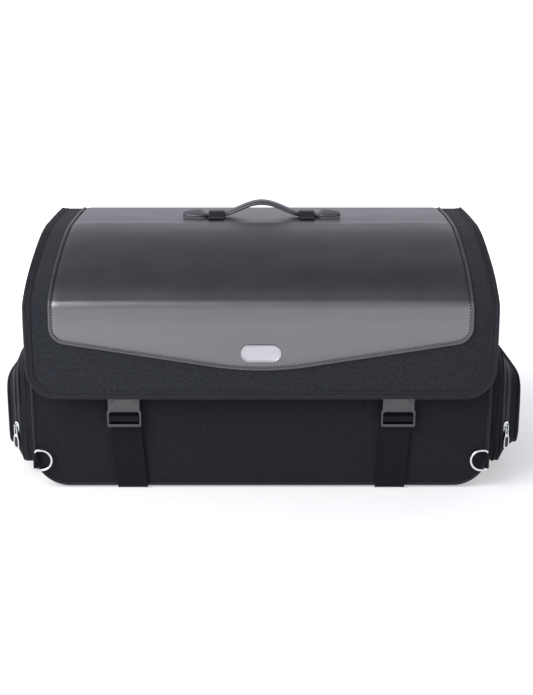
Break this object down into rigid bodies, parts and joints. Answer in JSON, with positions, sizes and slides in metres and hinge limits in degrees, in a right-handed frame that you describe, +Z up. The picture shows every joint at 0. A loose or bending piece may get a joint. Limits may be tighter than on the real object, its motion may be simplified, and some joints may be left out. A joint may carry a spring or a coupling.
{
  "type": "motorcycle tail bag",
  "caption": "Box-shaped soft tail bag with a crowned flap lid, carrying handle, strapped side-release buckles, zipped end pockets and corner D-rings.",
  "frame": {"origin": "middle of the bag's footprint, on the surface it stands on", "axes": "+X to the bag's right seen from the front, +Y to the rear, +Z up"},
  "size_m": [0.678, 0.3424, 0.3462],
  "materials": {
    "woven_shell": "coarse plain-weave nylon, low sheen",
    "stiffener": "extruded sheet",
    "lining_cloth": "thin coated nylon",
    "edge_tape": "woven tape, satin",
    "smooth_leather": "fine grain, semi-gloss",
    "webbing": "ribbed webbing, satin",
    "zip_tape": "woven tape with moulded teeth",
    "buckle_plastic": "moulded, satin",
    "plated_metal": "bright nickel plate",
    "badge_metal": "polished rim, brushed field",
    "pull_insert": "matt"
  },
  "bodies": {
    "bag": {"front_panel": "woven_shell", "rear_panel": "woven_shell", "side_panel_left": "woven_shell", "side_panel_right": "woven_shell", "base_panel": "woven_shell", "front_board": "stiffener", "rear_board": "stiffener", "side_board_left": "stiffener", "side_board_right": "stiffener", "base_board": "stiffener", "lining": "lining_cloth", "mouth_binding": "edge_tape", "piping_front": "edge_tape", "piping_rear": "edge_tape", "hinge_strip": "woven_shell", "strap_left": "webbing", "strap_right": "webbing", "d_ring_tabs": "webbing", "pocket_gusset_left": "woven_shell", "pocket_gusset_right": "woven_shell", "zip_inner_left": "zip_tape", "zip_inner_right": "zip_tape"},
    "lid": {"lid_lining": "lining_cloth", "lid_board": "stiffener", "lid_panel": "woven_shell", "lid_binding": "edge_tape", "lid_leather": "smooth_leather", "badge": "badge_metal", "lid_hinge_tape": "edge_tape", "handle_grip": "smooth_leather", "handle_keepers": "smooth_leather", "buckle_socket_left": "buckle_plastic", "buckle_socket_right": "buckle_plastic", "lid_webbing_left": "webbing", "lid_webbing_right": "webbing"},
    "handle_tab_left": {"handle_tab_left": "smooth_leather"},
    "handle_tab_right": {"handle_tab_right": "smooth_leather"},
    "plug_left": {"buckle_plug_left": "buckle_plastic", "strap_turn_left": "webbing"},
    "arm_outer_left": {"plug_arm_outer_left": "buckle_plastic"},
    "arm_inner_left": {"plug_arm_inner_left": "buckle_plastic"},
    "pocket_door_left": {"pocket_face_left": "woven_shell", "zip_outer_left": "zip_tape"},
    "zip_slider_left": {"zip_slider_left": "plated_metal"},
    "zip_pull_left": {"zip_pull_left": "plated_metal", "zip_pull_insert_left": "pull_insert"},
    "d_ring_front_left": {"d_ring_front_left": "plated_metal"},
    "d_ring_rear_left": {"d_ring_rear_left": "plated_metal"},
    "plug_right": {"buckle_plug_right": "buckle_plastic", "strap_turn_right": "webbing"},
    "arm_outer_right": {"plug_arm_outer_right": "buckle_plastic"},
    "arm_inner_right": {"plug_arm_inner_right": "buckle_plastic"},
    "pocket_door_right": {"pocket_face_right": "woven_shell", "zip_outer_right": "zip_tape"},
    "zip_slider_right": {"zip_slider_right": "plated_metal"},
    "zip_pull_right": {"zip_pull_right": "plated_metal", "zip_pull_insert_right": "pull_insert"},
    "d_ring_front_right": {"d_ring_front_right": "plated_metal"},
    "d_ring_rear_right": {"d_ring_rear_right": "plated_metal"}
  },
  "joints": [
    {"name": "lid_hinge", "type": "hinge", "parent": "bag", "child": "lid", "pos_m": [0, 0.1632, 0.3158], "axis": [-1, 0, 0], "range_deg": [0, 115]},
    {"name": "handle_tab_right_slide", "type": "slide", "parent": "lid", "child": "handle_tab_right", "axis": [1, 0, 0], "range_m": [0, 0.005], "deforming": ["handle_grip"]},
    {"name": "handle_tab_left_slide", "type": "slide", "parent": "lid", "child": "handle_tab_left", "axis": [-1, 0, 0], "range_m": [0, 0.005]},
    {"name": "plug_right_slide", "type": "slide", "parent": "bag", "child": "plug_right", "axis": [0, 0, -1], "range_m": [0, 0.036]},
    {"name": "arm_outer_right_flex", "type": "hinge", "parent": "plug_right", "child": "arm_outer_right", "pos_m": [0.185, -0.1545, 0.1271], "axis": [0, -1, 0], "range_deg": [0, 6], "stiffness_Nm_per_rad": 0.3},
    {"name": "arm_inner_right_flex", "type": "hinge", "parent": "plug_right", "child": "arm_inner_right", "pos_m": [0.169, -0.1545, 0.1271], "axis": [0, 1, 0], "range_deg": [0, 6], "stiffness_Nm_per_rad": 0.3},
    {"name": "pocket_right_hinge", "type": "hinge", "parent": "bag", "child": "pocket_door_right", "pos_m": [0.327, 0.0076, 0.0278], "axis": [0, 1, 0], "range_deg": [0, 40]},
    {"name": "zip_slider_right_slide", "type": "slide", "parent": "pocket_door_right", "child": "zip_slider_right", "axis": [0, 0, 1], "range_m": [0, 0.048]},
    {"name": "zip_pull_right_swing", "type": "hinge", "parent": "zip_slider_right", "child": "zip_pull_right", "pos_m": [0.32937, -0.10227, 0.0674], "axis": [-0.726, -0.6877, 0], "range_deg": [0, 160]},
    {"name": "d_ring_front_right_swing", "type": "hinge", "parent": "bag", "child": "d_ring_front_right", "pos_m": [0.295, -0.1526, 0.0393], "axis": [0, 0, 1], "range_deg": [0, 170]},
    {"name": "d_ring_rear_right_swing", "type": "hinge", "parent": "bag", "child": "d_ring_rear_right", "pos_m": [0.295, 0.1678, 0.0393], "axis": [0, 0, -1], "range_deg": [0, 170]},
    {"name": "plug_left_slide", "type": "slide", "parent": "bag", "child": "plug_left", "axis": [0, 0, -1], "range_m": [0, 0.036]},
    {"name": "arm_outer_left_flex", "type": "hinge", "parent": "plug_left", "child": "arm_outer_left", "pos_m": [-0.185, -0.1545, 0.1271], "axis": [0, 1, 0], "range_deg": [0, 6], "stiffness_Nm_per_rad": 0.3},
    {"name": "arm_inner_left_flex", "type": "hinge", "parent": "plug_left", "child": "arm_inner_left", "pos_m": [-0.169, -0.1545, 0.1271], "axis": [0, -1, 0], "range_deg": [0, 6], "stiffness_Nm_per_rad": 0.3},
    {"name": "pocket_left_hinge", "type": "hinge", "parent": "bag", "child": "pocket_door_left", "pos_m": [-0.327, 0.0076, 0.0278], "axis": [0, -1, 0], "range_deg": [0, 40]},
    {"name": "zip_slider_left_slide", "type": "slide", "parent": "pocket_door_left", "child": "zip_slider_left", "axis": [0, 0, 1], "range_m": [0, 0.048]},
    {"name": "zip_pull_left_swing", "type": "hinge", "parent": "zip_slider_left", "child": "zip_pull_left", "pos_m": [-0.32937, -0.10227, 0.0674], "axis": [-0.726, 0.6877, 0], "range_deg": [0, 160]},
    {"name": "d_ring_front_left_swing", "type": "hinge", "parent": "bag", "child": "d_ring_front_left", "pos_m": [-0.295, -0.1526, 0.0393], "axis": [0, 0, -1], "range_deg": [0, 170]},
    {"name": "d_ring_rear_left_swing", "type": "hinge", "parent": "bag", "child": "d_ring_rear_left", "pos_m": [-0.295, 0.1678, 0.0393], "axis": [0, 0, 1], "range_deg": [0, 170]}
  ],
  "couplings": [
    {"joint": "handle_tab_left_slide", "follows": "handle_tab_right_slide", "ratio": 1},
    {"joint": "arm_inner_right_flex", "follows": "arm_outer_right_flex", "ratio": 1},
    {"joint": "arm_inner_left_flex", "follows": "arm_outer_left_flex", "ratio": 1}
  ]
}
